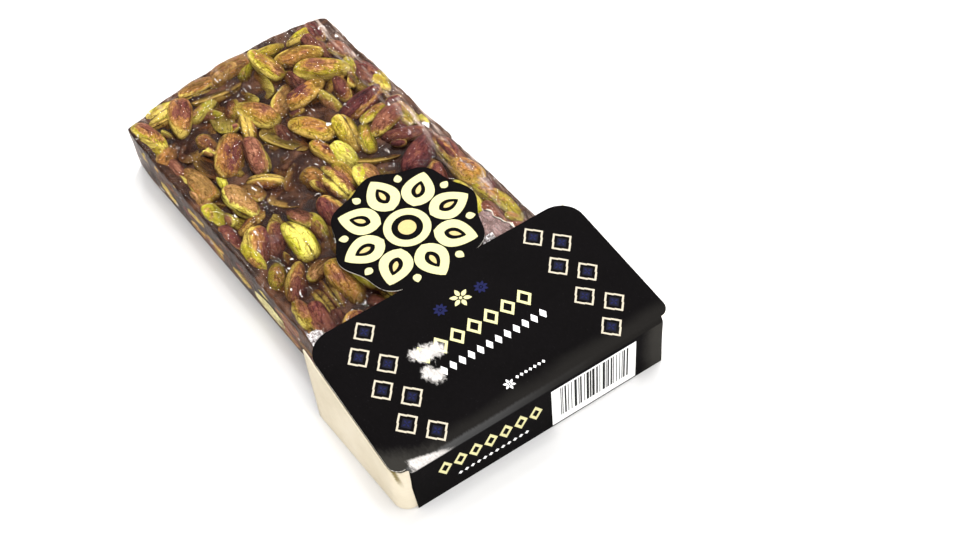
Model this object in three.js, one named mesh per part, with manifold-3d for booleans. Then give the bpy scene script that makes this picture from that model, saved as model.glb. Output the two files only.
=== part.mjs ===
// A pistachio nougat bar sealed in clear film, its near end held in a cream card tray
// under a folded black header card with a scalloped rosette tab.
// Millimetres, +Z up. X runs across the card, Y along the bar, and the pack lies on z = 0.

import * as THREE from 'three';
import { mergeVertices } from 'three/addons/utils/BufferGeometryUtils.js';
import Module from 'manifold-3d';

const wasm = await Module();
wasm.setup();

// ---- Driving dimensions ----

const cardWidth = 86;
const cardLength = 48.8;
const packHeight = 20.3;
const board = 0.4;
const gap = 0.3;

const card = {
  corner: 7.5,
  frontCorner: 5,
  bend: 1.2,
  endLeft: -cardWidth / 2 + 4.3,
  endRight: cardWidth / 2 - 3.2,
};

const rosette = { x: 0.6, y: 66.4, radius: 21.2, scallop: 0.9, petals: 8, stepsPerPetal: 10 };

const tray = {
  left: -43.4,
  right: 40.6,
  front: board + gap,
  mouth: 48,
  corner: 4.4,
  flare: 3,
  slant: 9,
  top: packHeight - board - gap,
  notchWidth: 3.2,
  notchDepth: 2.6,
};

const bar = {
  nearX: 0.5,
  nearY: 5,
  yaw: THREE.MathUtils.degToRad(4.84),
  length: 149.5,
  endBow: 4.5,
  halfWidth: 36.3,
  coreHeight: 15.6,
  fullHeight: 18.6,
  corner: 4,
  edge: 1.5,
  overhang: 0.6,
};
bar.reach = bar.length + bar.endBow;
bar.tilt = -Math.asin((board + gap) / (bar.reach - (tray.mouth - tray.slant)));

// Kernel sizes are ranges: [shortest, longest] and so on.
const kernel = {
  slimness: [0.43, 0.53],
  depthShare: 0.86,
  sides: 7,
  rings: 5,
};
const crown = { tries: 3500, length: [15.5, 19.5], spacing: 0.74, sink: [0, 0.8], pitch: 0.14 };
const sunk = { tries: 3500, length: [12, 16], spacing: 0.5, sink: [0.9, 1.9], pitch: 0.2 };
const rim = { rows: [4.9, 11.6], length: [14, 18], step: [11, 15], bury: [2.4, 3.1], pitch: 0.32 };

// ---- Seeded draws ----

const kernelSeed = 4217;

function drawsFrom(seed) {
  let state = seed;
  return (low, high) => {
    state = (state * 16807) % 2147483647;
    return low + ((high - low) * state) / 2147483647;
  };
}

// ---- Solids and geometries ----

function solidOf(geometry) {
  geometry.deleteAttribute('normal');
  geometry.deleteAttribute('uv');
  const merged = mergeVertices(geometry, 1e-4);
  return new wasm.Manifold(new wasm.Mesh({
    numProp: 3,
    vertProperties: Float32Array.from(merged.attributes.position.array),
    triVerts: Uint32Array.from(merged.index.array),
  }));
}

function geometryOf(solid) {
  const mesh = solid.getMesh();
  const geometry = new THREE.BufferGeometry();
  geometry.setAttribute('position', new THREE.BufferAttribute(mesh.vertProperties, 3));
  geometry.setIndex(new THREE.BufferAttribute(mesh.triVerts, 1));
  geometry.computeVertexNormals();
  return geometry;
}

function pieceNamed(name, solid, colour, roughness) {
  const material = new THREE.MeshStandardMaterial({ color: colour, roughness, metalness: 0 });
  const mesh = new THREE.Mesh(geometryOf(solid), material);
  mesh.name = name;
  return mesh;
}

function plate(outline, bottom, thickness, curveSegments = 6) {
  const geometry = new THREE.ExtrudeGeometry(outline, {
    depth: thickness,
    bevelEnabled: false,
    curveSegments,
  });
  return solidOf(geometry.translate(0, 0, bottom));
}

// A rectangle with its own radius at the two front and the two back corners.
function roundedOutline(left, right, front, back, frontRadius, backRadius) {
  const outline = new THREE.Shape();
  outline.moveTo(left + frontRadius, front);
  outline.lineTo(right - frontRadius, front);
  outline.absarc(right - frontRadius, front + frontRadius, frontRadius, -Math.PI / 2, 0);
  outline.lineTo(right, back - backRadius);
  outline.absarc(right - backRadius, back - backRadius, backRadius, 0, Math.PI / 2);
  outline.lineTo(left + backRadius, back);
  outline.absarc(left + backRadius, back - backRadius, backRadius, Math.PI / 2, Math.PI);
  outline.lineTo(left, front + frontRadius);
  outline.absarc(left + frontRadius, front + frontRadius, frontRadius, Math.PI, 1.5 * Math.PI);
  return outline;
}

// ---- Black header card: top panel with its tab and the end panel, one folded board ----

// The fold seen from the side: u is depth into the pack, v is height.
function foldProfile() {
  const reach = 3 * card.bend;
  const profile = new THREE.Shape();
  profile.moveTo(reach, packHeight);
  profile.lineTo(card.bend, packHeight);
  profile.absarc(card.bend, packHeight - card.bend, card.bend, Math.PI / 2, Math.PI);
  profile.lineTo(0, 0);
  profile.lineTo(board, 0);
  profile.absarc(card.bend, packHeight - card.bend, card.bend - board, Math.PI, Math.PI / 2, true);
  profile.lineTo(reach, packHeight - board);
  return profile;
}

function foldedEnd() {
  const geometry = new THREE.ExtrudeGeometry(foldProfile(), {
    depth: card.endRight - card.endLeft,
    bevelEnabled: false,
    curveSegments: 4,
  });
  // Turns the profile's (depth, height, run) axes into the pack's (y, z, x).
  geometry.applyMatrix4(new THREE.Matrix4().makeBasis(
    new THREE.Vector3(0, 1, 0),
    new THREE.Vector3(0, 0, 1),
    new THREE.Vector3(1, 0, 0),
  ));
  return solidOf(geometry.translate(card.endLeft, 0, 0));
}

function rosetteTab() {
  const steps = rosette.petals * rosette.stepsPerPetal;
  const points = [];
  for (let step = 0; step < steps; step += 1) {
    const angle = (2 * Math.PI * step) / steps;
    const radius = rosette.radius + rosette.scallop * Math.cos(rosette.petals * angle);
    const x = rosette.x + radius * Math.sin(angle);
    points.push(new THREE.Vector2(x, rosette.y + radius * Math.cos(angle)));
  }
  return plate(new THREE.Shape(points), packHeight - board, board);
}

function blackCard() {
  const half = cardWidth / 2;
  const topOutline = roundedOutline(-half, half, card.bend, cardLength, card.frontCorner, card.corner);
  return foldedEnd()
    .add(plate(topOutline, packHeight - board, board))
    .add(rosetteTab());
}

// ---- Cream tray: a floor, an end wall and two side walls that splay towards the mouth ----

function splayed(geometry, height) {
  const place = geometry.attributes.position;
  for (let i = 0; i < place.count; i += 1) {
    const x = place.getX(i);
    const y = place.getY(i);
    const lean = 1 - place.getZ(i) / height;
    const along = Math.max(0, (y - tray.front - tray.corner) / (tray.mouth - tray.front - tray.corner));
    const outward = x < 0 ? -1 : 0.3;
    place.setX(i, x + outward * tray.flare * along * lean);
    place.setY(i, y - tray.slant * along * lean);
  }
  return geometry;
}

function trayBlock(inset, bottom, top, mouth) {
  const outline = new THREE.Shape();
  const left = tray.left + inset;
  const right = tray.right - inset;
  const front = tray.front + inset;
  const radius = tray.corner - inset;
  outline.moveTo(left + radius, front);
  outline.lineTo(right - radius, front);
  outline.absarc(right - radius, front + radius, radius, -Math.PI / 2, 0);
  outline.lineTo(right, mouth);
  outline.lineTo(left, mouth);
  outline.lineTo(left, front + radius);
  outline.absarc(left + radius, front + radius, radius, Math.PI, 1.5 * Math.PI);
  const geometry = new THREE.ExtrudeGeometry(outline, {
    depth: top - bottom,
    bevelEnabled: false,
    curveSegments: 6,
  });
  return splayed(geometry.translate(0, 0, bottom), tray.top);
}

// The gap where the corner flap folds in behind the end panel.
function cornerNotch() {
  const notch = new THREE.Shape([
    new THREE.Vector2(0, -tray.notchDepth),
    new THREE.Vector2(tray.notchWidth, board),
    new THREE.Vector2(-tray.notchWidth, board),
  ]);
  const geometry = new THREE.ExtrudeGeometry(notch, { depth: 3 * board, bevelEnabled: false });
  geometry.rotateX(Math.PI / 2);
  geometry.rotateZ(-Math.PI / 4);
  const reach = tray.corner * (1 - Math.SQRT1_2);
  return solidOf(geometry.translate(
    tray.left + reach + board,
    tray.front + reach + board,
    tray.top,
  ));
}

function creamTray() {
  const outer = solidOf(trayBlock(0, 0, tray.top, tray.mouth));
  const hollow = solidOf(trayBlock(board, board, tray.top + 1, tray.mouth + 2));
  return outer.subtract(hollow).subtract(cornerNotch());
}

// ---- Nougat bar in its own axes: x across, y along from the near end, z up from its underside ----

// How far the bowed far end reaches, a distance x to the side of the middle.
function endReach(x) {
  return bar.length + bar.endBow * (1 - (x / bar.halfWidth) ** 2);
}

function nougatOutline() {
  const half = bar.halfWidth - bar.edge;
  const near = bar.edge;
  const far = bar.length - bar.edge;
  const round = bar.corner;
  const outline = new THREE.Shape();
  outline.moveTo(-half + round, near);
  outline.lineTo(half - round, near);
  outline.absarc(half - round, near + round, round, -Math.PI / 2, 0);
  outline.lineTo(half, far - round);
  outline.absarc(half - round, far - round, round, 0, Math.PI / 2);
  outline.quadraticCurveTo(0, far + 2 * bar.endBow, -half + round, far);
  outline.absarc(-half + round, far - round, round, Math.PI / 2, Math.PI);
  outline.lineTo(-half, near + round);
  outline.absarc(-half + round, near + round, round, Math.PI, 1.5 * Math.PI);
  return outline;
}

function nougatCore() {
  const geometry = new THREE.ExtrudeGeometry(nougatOutline(), {
    depth: bar.coreHeight - 2 * bar.edge,
    bevelThickness: bar.edge,
    bevelSize: bar.edge,
    bevelSegments: 2,
    curveSegments: 5,
  });
  return solidOf(geometry.translate(0, 0, bar.edge));
}

// Five discs along a kernel's length stand for it when the next one looks for room.
function spotsOf(piece) {
  const reach = (piece.length - piece.width) / 2;
  return [-reach, -reach / 2, 0, reach / 2, reach].map((along) => [
    piece.x + along * Math.sin(piece.heading),
    piece.y + along * Math.cos(piece.heading),
  ]);
}

function apart(one, other) {
  return Math.min(...spotsOf(one).flatMap(([x, y]) =>
    spotsOf(other).map(([otherX, otherY]) => Math.hypot(x - otherX, y - otherY))));
}

function kernelsOnTop(draw) {
  const laid = [];
  for (const layer of [crown, sunk]) {
    for (let attempt = 0; attempt < layer.tries; attempt += 1) {
      const length = draw(...layer.length);
      const width = length * draw(...kernel.slimness);
      const swing = draw(-1, 1);
      const heading = 1.5 * swing * Math.abs(swing);
      const x = draw(-1, 1) * (bar.halfWidth + bar.overhang - width / 2);
      const y = draw(width / 2, bar.reach - width / 2);
      const sinking = draw(...layer.sink);
      const pitch = draw(-layer.pitch, layer.pitch);
      const reachX = Math.abs(Math.sin(heading)) * (length - width) / 2 + Math.abs(x) + width / 2;
      const reachY = Math.cos(heading) * (length - width) / 2 + width / 2;
      const inside = reachX < bar.halfWidth + bar.overhang && y > reachY
        && y < endReach(x) + bar.overhang - reachY;
      const depth = width * kernel.depthShare;
      const z = bar.fullHeight - sinking - depth / 2 - Math.abs(Math.sin(pitch)) * (length - depth) / 2;
      const piece = { x, y, z, length, width, depth, heading, pitch };
      const room = (other) => apart(piece, other) > layer.spacing * (width + other.width) / 2;
      if (inside && laid.every(room)) {
        laid.push(piece);
      }
    }
  }
  return laid;
}

function kernelsAlongSide(draw, side) {
  const laid = [];
  for (const row of rim.rows) {
    for (let y = draw(10, 14); y < bar.length - 9; y += draw(...rim.step)) {
      const length = draw(...rim.length);
      const width = length * draw(...kernel.slimness);
      const depth = width * kernel.depthShare;
      const x = side * (bar.halfWidth - draw(...rim.bury));
      const z = row + draw(-0.7, 0.7);
      laid.push({ x, y, z, length, width: depth, depth: width, heading: 0, pitch: draw(-rim.pitch, rim.pitch) });
    }
  }
  return laid;
}

function kernelsAcrossEnd(draw) {
  const laid = [];
  for (const row of rim.rows) {
    for (let x = draw(-27, -22); x < bar.halfWidth - 8; x += draw(...rim.step)) {
      const length = draw(...rim.length);
      const width = length * draw(...kernel.slimness);
      const depth = width * kernel.depthShare;
      const y = endReach(x) - draw(...rim.bury);
      const z = row + draw(-0.7, 0.7);
      const pitch = draw(-rim.pitch, rim.pitch);
      laid.push({ x, y, z, length, width: depth, depth: width, heading: Math.PI / 2, pitch });
    }
  }
  return laid;
}

// A kernel lies along its heading, measured from y towards x, with its far tip lifted by the pitch.
function kernelSolid(piece) {
  const geometry = new THREE.SphereGeometry(0.5, kernel.sides, kernel.rings);
  geometry.scale(piece.width, piece.length, piece.depth);
  geometry.rotateX(piece.pitch);
  geometry.rotateZ(-piece.heading);
  return solidOf(geometry.translate(piece.x, piece.y, piece.z));
}

function nougatBar() {
  const draw = drawsFrom(kernelSeed);
  const kernels = [
    ...kernelsOnTop(draw),
    ...kernelsAlongSide(draw, -1),
    ...kernelsAlongSide(draw, 1),
    ...kernelsAcrossEnd(draw),
  ];
  return kernels.reduce((joined, piece) => joined.add(kernelSolid(piece)), nougatCore());
}

// ---- Pack ----

const nougat = pieceNamed('film_wrapped_nougat', nougatBar(), 0x6b4a2c, 0.25);
nougat.rotation.set(bar.tilt, 0, bar.yaw, 'ZXY');
nougat.position.set(bar.nearX, bar.nearY, -bar.reach * Math.sin(bar.tilt));

const pack = new THREE.Group();
pack.add(nougat);
pack.add(pieceNamed('black_card', blackCard(), 0x17151a, 0.5));
pack.add(pieceNamed('cream_tray', creamTray(), 0xf2ecd6, 0.7));

// The origin is on the ground, under the middle of the whole pack.
const extent = new THREE.Box3().setFromObject(pack, true);
const middle = extent.getCenter(new THREE.Vector3());
pack.position.set(-middle.x, -middle.y, 0);

const group = new THREE.Group();
group.add(pack);

export default group;
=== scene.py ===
"""A bar of whole pistachios in dark nougat, sealed in clear film, with its near end in a cream card tray
under a black header card. Lengths are in millimetres until a mesh is made, which turns them into metres."""

import math
from collections import defaultdict
from dataclasses import dataclass
from functools import reduce
from typing import NamedTuple

import bmesh
import bpy
import numpy as np
from mathutils import Matrix, Vector
from mathutils.bvhtree import BVHTree
from mathutils.geometry import delaunay_2d_cdt


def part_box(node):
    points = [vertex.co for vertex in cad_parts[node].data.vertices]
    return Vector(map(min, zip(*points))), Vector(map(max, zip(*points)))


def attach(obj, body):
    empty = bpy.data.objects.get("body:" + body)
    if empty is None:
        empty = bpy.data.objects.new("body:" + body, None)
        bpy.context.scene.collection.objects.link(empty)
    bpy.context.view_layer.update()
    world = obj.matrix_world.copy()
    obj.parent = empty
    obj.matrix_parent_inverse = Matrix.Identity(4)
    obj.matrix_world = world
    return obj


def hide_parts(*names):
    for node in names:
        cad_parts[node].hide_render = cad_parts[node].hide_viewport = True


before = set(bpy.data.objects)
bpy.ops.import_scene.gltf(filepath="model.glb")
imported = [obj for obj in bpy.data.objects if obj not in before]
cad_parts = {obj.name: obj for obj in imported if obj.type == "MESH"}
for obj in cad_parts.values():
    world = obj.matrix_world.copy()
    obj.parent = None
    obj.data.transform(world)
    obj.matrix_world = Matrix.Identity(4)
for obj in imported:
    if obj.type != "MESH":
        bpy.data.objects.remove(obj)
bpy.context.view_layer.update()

MM = 0.001
FULL_TURN = 2 * math.pi

# ---- Driving dimensions, in millimetres ----

card_low, card_high = (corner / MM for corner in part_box("black_card"))
bar_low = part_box("film_wrapped_nougat")[0] / MM
CARD_WIDTH = card_high.x - card_low.x
PACK_HEIGHT = card_high.z
INK_ROOM = 0.08
FLOOR_ROOM = 0.02
CARD_LENGTH = 48.8
BOARD = 0.35
BEND = 1.2
CARD_TOP = PACK_HEIGHT - 0.1
END_LEFT = -CARD_WIDTH / 2 + 4.3
END_RIGHT = CARD_WIDTH / 2 - 3.2
END_SLANT = 0.9
BACK_CORNER = 7.5

ROSETTE_X, ROSETTE_Y = 0.6, 66.4
ROSETTE_RADIUS = 21.2
ROSETTE_SCALLOP = 0.9
PETALS = 8

TRAY_LEFT, TRAY_RIGHT = -43.4, 40.6
TRAY_FRONT = 0.7
TRAY_MOUTH = 48.0
TRAY_CORNER = 4.4
TRAY_FLARE = 3.0
TRAY_SLANT = 9.0
RIGHT_FLARE_SHARE = 0.3
TRAY_BULGE = 0.25
TRAY_TOP = PACK_HEIGHT - 0.7

BAR_X, BAR_Y = 0.5, 5.0
BAR_YAW = math.radians(4.84)
BAR_LENGTH = 149.5
BAR_END_BOW = 4.5
BAR_REACH = BAR_LENGTH + BAR_END_BOW
BAR_TILT = -math.asin(0.7 / (BAR_REACH - (TRAY_MOUTH - TRAY_SLANT)))
BAR_HALF = 36.3
BAR_HEIGHT = 18.6
BAR_OVERHANG = 0.6
CORE_HEIGHT = 14.8

# The card's own axes start at the middle of its end panel's lower edge, and the bar's at its near end.
CARD_PLACE = Matrix.Translation(((card_low.x + card_high.x) / 2, card_low.y, 0))
BAR_PLACE = (
    CARD_PLACE
    @ Matrix.Translation((BAR_X, BAR_Y, -BAR_REACH * math.sin(BAR_TILT)))
    @ Matrix.Rotation(BAR_YAW, 4, "Z")
    @ Matrix.Rotation(BAR_TILT, 4, "X")
)

# ---- Seeded draws ----

KERNEL_SEED = 4217
LOOKS_SEED = 90211
BAR_CODE_SEED = 555
ANY_ANGLE = (0, 6.28)


class Draws:
    """Even random numbers from a seed, the same in every language that has whole numbers."""

    def __init__(self, seed):
        self.state = seed

    def __call__(self, low, high):
        self.state = (self.state * 16807) % 2147483647
        return low + (high - low) * self.state / 2147483647

    def pick(self, choices):
        return choices[int(self(0, len(choices) - 0.001))]


# ---- Shader writing ----


class Wire:
    """A shader value. Arithmetic on it adds Math nodes to its finish."""

    def __init__(self, finish, socket):
        self.finish = finish
        self.socket = socket

    def __add__(self, other):
        return self.finish.maths("ADD", self, other)

    def __sub__(self, other):
        return self.finish.maths("SUBTRACT", self, other)

    def __rsub__(self, other):
        return self.finish.maths("SUBTRACT", other, self)

    def __mul__(self, other):
        return self.finish.maths("MULTIPLY", self, other)

    def __truediv__(self, other):
        return self.finish.maths("DIVIDE", self, other)

    __radd__ = __add__
    __rmul__ = __mul__

    def clamped(self):
        return self.finish.maths("ADD", self, 0.0, clamp=True)

    def smooth(self, low, high):
        """0 below low, 1 above high and an even S between them."""
        inputs = {"Value": self, "From Min": low, "From Max": high}
        return self.finish.node("ShaderNodeMapRange", {"interpolation_type": "SMOOTHSTEP"}, inputs)


class Finish:
    """A material and the one way its nodes are made."""

    def __init__(self, name):
        self.material = bpy.data.materials.new(name)
        self.material.use_nodes = True
        self.tree = self.material.node_tree
        self.tree.nodes.clear()

    def node(self, kind, settings=None, inputs=None, output=0, stops=None):
        made = self.tree.nodes.new(kind)
        for name, value in (settings or {}).items():
            setattr(made, name, value)
        if stops:
            self.lay_stops(made.color_ramp, stops)
        for key, value in (inputs or {}).items():
            if isinstance(value, Wire):
                self.tree.links.new(value.socket, made.inputs[key])
            else:
                made.inputs[key].default_value = value
        return Wire(self, made.outputs[output]) if made.outputs else None

    @staticmethod
    def lay_stops(ramp, stops):
        while len(ramp.elements) < len(stops):
            ramp.elements.new(0.5)
        for element, (place, colour) in zip(ramp.elements, stops):
            element.position = place
            element.color = (*colour, 1)

    def maths(self, operation, *values, clamp=False):
        settings = {"operation": operation, "use_clamp": clamp}
        return self.node("ShaderNodeMath", settings, dict(enumerate(values)))

    def highest(self, *values):
        return reduce(lambda first, second: self.maths("MAXIMUM", first, second), values)

    def blend(self, factor, first, second, way="MIX"):
        first, second = (c if isinstance(c, Wire) else (*c, 1) for c in (first, second))
        settings = {"data_type": "RGBA", "blend_type": way}
        return self.node("ShaderNodeMix", settings, {0: factor, 6: first, 7: second}, 2)

    def ramp(self, value, stops):
        return self.node("ShaderNodeValToRGB", None, {"Fac": value}, 0, stops)

    def attribute(self, name, output="Fac"):
        return self.node("ShaderNodeAttribute", {"attribute_name": name}, None, output)

    def place(self):
        """Where a point is in the pack's own frame, in metres."""
        return self.node("ShaderNodeTexCoord", None, None, "Object")

    def card_place(self):
        """Three wires: millimetres across, along and up from the card's own corner of axes."""
        start = self.node("ShaderNodeVectorMath", {"operation": "SUBTRACT"}, {
            0: self.place(), 1: CARD_PLACE.translation * MM,
        })
        scaled = self.node("ShaderNodeVectorMath", {"operation": "SCALE"}, {0: start, "Scale": 1 / MM})
        split = self.node("ShaderNodeSeparateXYZ", None, {0: scaled})
        return [Wire(self, split.socket.node.outputs[axis]) for axis in range(3)]

    def noise(self, vector, scale, detail, roughness, distortion=0.0, stretch=None):
        """Fractal noise. stretch scales its axes first: below 1 draws the pattern out along one."""
        if stretch:
            vector = self.node("ShaderNodeMapping", None, {"Vector": vector, "Scale": stretch})
        inputs = {"Vector": vector, "Scale": scale, "Detail": detail}
        inputs |= {"Roughness": roughness, "Distortion": distortion}
        return self.node("ShaderNodeTexNoise", None, inputs)

    def bump(self, height, strength, distance):
        inputs = {"Height": height, "Strength": strength, "Distance": distance}
        return self.node("ShaderNodeBump", None, inputs)

    def principled(self, **sockets):
        named = {name.replace("_", " "): value for name, value in sockets.items()}
        return self.node("ShaderNodeBsdfPrincipled", None, named)

    def mixed(self, factor, first, second):
        """Two shaders, the second shown where factor is 1."""
        return self.node("ShaderNodeMixShader", None, {0: factor, 1: first, 2: second})

    def shown(self, shader):
        self.node("ShaderNodeOutputMaterial", None, {"Surface": shader})
        return self.material

    def surface(self, colour, roughness, relief, **sockets):
        """The whole material. relief is a height, the bump's strength and its distance in metres."""
        sockets |= {"Base_Color": colour, "Roughness": roughness, "Normal": self.bump(*relief)}
        return self.shown(self.principled(**sockets))


# ---- Meshes ----


def sheet_piece(name, points, faces, place, finish, marks=None, smooth=True):
    """A mesh piece from points in a part's own millimetres. marks are per-point attributes."""
    mesh = bpy.data.meshes.new(name)
    points = np.asarray(points, float)
    mesh.from_pydata(points.tolist(), [], [list(face) for face in faces])
    for label, values in (marks or {}).items():
        values = np.asarray(values, np.float32)
        kind, slot = ("FLOAT_VECTOR", "vector") if values.ndim == 2 else ("FLOAT", "value")
        mesh.attributes.new(label, kind, "POINT").data.foreach_set(slot, values.ravel())
    mesh.transform(Matrix.Scale(MM, 4) @ place)
    mesh.update()
    mesh.polygons.foreach_set("use_smooth", [smooth] * len(mesh.polygons))
    mesh.materials.append(finish)
    piece = bpy.data.objects.new(name, mesh)
    bpy.context.scene.collection.objects.link(piece)
    return piece


def faced_outwards(piece):
    work = bmesh.new()
    work.from_mesh(piece.data)
    bmesh.ops.recalc_face_normals(work, faces=work.faces)
    work.to_mesh(piece.data)
    work.free()
    return piece


def worked(piece, kind, **settings):
    """Adds a modifier and applies it to the mesh."""
    modifier = piece.modifiers.new(kind.title(), kind)
    for name, value in settings.items():
        setattr(modifier, name, value)
    graph = bpy.context.evaluated_depsgraph_get()
    graph.update()
    made = bpy.data.meshes.new_from_object(piece.evaluated_get(graph))
    piece.modifiers.clear()
    piece.data = made
    return piece


def mounted(piece, slot, *nodes):
    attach(piece, "root")
    if nodes:
        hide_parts(*nodes)
    return piece


def grid_faces(rows, columns, closed_rows=False, closed_columns=False):
    """Quads of a grid of points laid row by row."""
    faces = []
    for row in range(rows if closed_rows else rows - 1):
        below = (row + 1) % rows
        for column in range(columns if closed_columns else columns - 1):
            right = (column + 1) % columns
            near, far = row * columns, below * columns
            faces.append((near + column, near + right, far + right, far + column))
    return faces


def arc(x, y, radius, start, end, steps=10):
    """Points round a centre from one angle to another, in degrees, anticlockwise from +x."""
    angles = np.radians(np.linspace(start, end, steps + 1))
    return [(x + radius * math.cos(a), y + radius * math.sin(a)) for a in angles]


# ---- Where the kernels lie: the same rule as the solid's ----


@dataclass
class Spot:
    """Where a kernel lies in the bar, how large it is and how it is turned."""

    x: float
    y: float
    z: float
    length: float
    width: float
    depth: float
    heading: float = 0.0
    pitch: float = 0.0
    coarse: bool = False


class Layer(NamedTuple):
    """How kernels are tried in a face. Spacing is the least gap as a share of their mean width."""

    tries: int
    length: tuple
    spacing: float
    sink: tuple
    pitch: float


MOST_HEADING = 1.5
SLIMNESS = (0.43, 0.53)
DEPTH_SHARE = 0.86
CROWN = Layer(3500, (15.5, 19.5), 0.74, (0, 0.8), 0.14)
SUNK = Layer(3500, (12, 16), 0.5, (0.9, 1.9), 0.2)
RIM_ROWS = (4.9, 11.6)
RIM_LENGTH = (14, 18)
RIM_STEP = (11, 15)
RIM_BURY = (2.4, 3.1)
RIM_PITCH = 0.32
ROW_JITTER = 0.7
SIDE_START, SIDE_STOP = (10, 14), BAR_LENGTH - 9
END_START, END_STOP = (-27, -22), BAR_HALF - 8


def end_reach(x):
    return BAR_LENGTH + BAR_END_BOW * (1 - (x / BAR_HALF) ** 2)


def discs_along(spot):
    """Middles of the five discs that stand for a kernel when the next one looks for room."""
    along = (spot.length - spot.width) / 2 * np.linspace(-1, 1, 5)
    return np.stack([spot.x + along * math.sin(spot.heading), spot.y + along * math.cos(spot.heading)], 1)


class Bed:
    """The kernels laid in a face so far."""

    def __init__(self):
        self.laid = []
        self.discs = np.zeros((0, 5, 2))
        self.widths = np.zeros(0)

    def lay_if_room(self, layer, x, y, length, width, heading, pitch, sinking):
        """Lays a kernel with its back sinking below the bar's top, unless others are too near."""
        depth = width * DEPTH_SHARE
        z = BAR_HEIGHT - sinking - depth / 2 - abs(math.sin(pitch)) * (length - depth) / 2
        spot = Spot(x, y, z, length, width, depth, heading, pitch)
        mine = discs_along(spot)
        gaps = np.linalg.norm(self.discs[:, :, None] - mine[None, None], axis=-1).min((1, 2))
        if (gaps > layer.spacing * (self.widths + width) / 2).all():
            self.laid.append(spot)
            self.discs = np.concatenate([self.discs, mine[None]])
            self.widths = np.append(self.widths, width)


def laid_on_face(draw, layer, bed):
    """Kernels lying in the top face, each with room from those before it. Gives the new ones."""
    before = len(bed.laid)
    for _ in range(layer.tries):
        length = draw(*layer.length)
        width = length * draw(*SLIMNESS)
        swing = draw(-1, 1)
        heading = MOST_HEADING * swing * abs(swing)
        x = draw(-1, 1) * (BAR_HALF + BAR_OVERHANG - width / 2)
        y = draw(width / 2, BAR_REACH - width / 2)
        sinking = draw(*layer.sink)
        pitch = draw(-layer.pitch, layer.pitch)
        reach_x = abs(math.sin(heading)) * (length - width) / 2 + abs(x) + width / 2
        reach_y = math.cos(heading) * (length - width) / 2 + width / 2
        if reach_x >= BAR_HALF + BAR_OVERHANG or y <= reach_y:
            continue
        if y >= end_reach(x) + BAR_OVERHANG - reach_y:
            continue
        bed.lay_if_room(layer, x, y, length, width, heading, pitch, sinking)
    return bed.laid[before:]


def laid_in_rows(draw, side, rows=RIM_ROWS, bury=RIM_BURY):
    """Rows of kernels along a side wall, or along the far end where side is 0."""
    laid = []
    start, stop = (SIDE_START, SIDE_STOP) if side else (END_START, END_STOP)
    for row in rows:
        run = draw(*start)
        while run < stop:
            length = draw(*RIM_LENGTH)
            width = length * draw(*SLIMNESS)
            buried = draw(*bury)
            x, y = (side * (BAR_HALF - buried), run) if side else (run, end_reach(run) - buried)
            z = row + draw(-ROW_JITTER, ROW_JITTER)
            heading = 0 if side else math.pi / 2
            pitch = draw(-RIM_PITCH, RIM_PITCH)
            laid.append(Spot(x, y, z, length, width * DEPTH_SHARE, width, heading, pitch))
            run += draw(*RIM_STEP)
    return laid


# Small kernels and broken bits fill the gaps between the large ones, and others lie deeper in or at the foot.
FILL = Layer(3500, (9.5, 14), 0.58, (0.7, 1.8), 0.35)
BITS = Layer(2500, (6, 9), 0.62, (1.2, 2.6), 0.4)
DEEP = Layer(3000, (12, 17), 0.62, (2.0, 3.0), 0.3)
UNDER = Layer(2500, (13, 18), 0.7, (0, 0), 0.1)
CREST = Layer(1, (12, 16), 0.42, (0.1, 0.9), 0.2)
CREST_STEP = 2.5
CREST_SWING = 0.25
CREST_CORNER = 8
CREST_INSET = 0.3
UNDER_SHARE = 0.36
WALLS = (-1, 1, 0)
WALL_ROWS = (3.3, 8.2, 13.2)
WALL_BURY = (3.0, 3.8)

# Two kernels lie against the film by the left of the tray's mouth, one of them split face outwards. The
# left wall is bare of others there, up to a height.
SPLIT_BY_MOUTH = Spot(-BAR_HALF - 0.25, 72.0, 6.2, 15.5, 9.4, 6.6)
BROWN_BY_MOUTH = Spot(-BAR_HALF + 2.0, 56.5, 8.0, 16.0, 5.6, 5.2)
BARE_FROM, BARE_TO = 48, 80
BARE_HEIGHT = 10


def laid_on_crest(draw, bed):
    """Kernels along the top edges of the sides and the far end, where the face has left room."""
    before = len(bed.laid)
    sides = np.arange(CREST_CORNER, BAR_LENGTH - CREST_CORNER, CREST_STEP)
    places = [(side, along) for side in (-1, 1) for along in sides]
    places += [(0, across) for across in np.arange(-BAR_HALF + CREST_CORNER, BAR_HALF - 7, CREST_STEP)]
    for side, place in places:
        length = draw(*CREST.length)
        width = length * draw(*SLIMNESS)
        swing = draw(-CREST_SWING, CREST_SWING)
        inset = width / 2 + 4 * abs(swing)
        x = side * (BAR_HALF + BAR_OVERHANG - CREST_INSET - inset) if side else place
        y = place if side else end_reach(place) - inset
        heading = swing if side else math.pi / 2 + swing
        pitch = draw(-CREST.pitch, CREST.pitch)
        bed.lay_if_room(CREST, x, y, length, width, heading, pitch, draw(*CREST.sink))
    return bed.laid[before:]


def in_bare_stretch(spot):
    return spot.x <= 0 and BARE_FROM < spot.y < BARE_TO and spot.z <= BARE_HEIGHT


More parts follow.
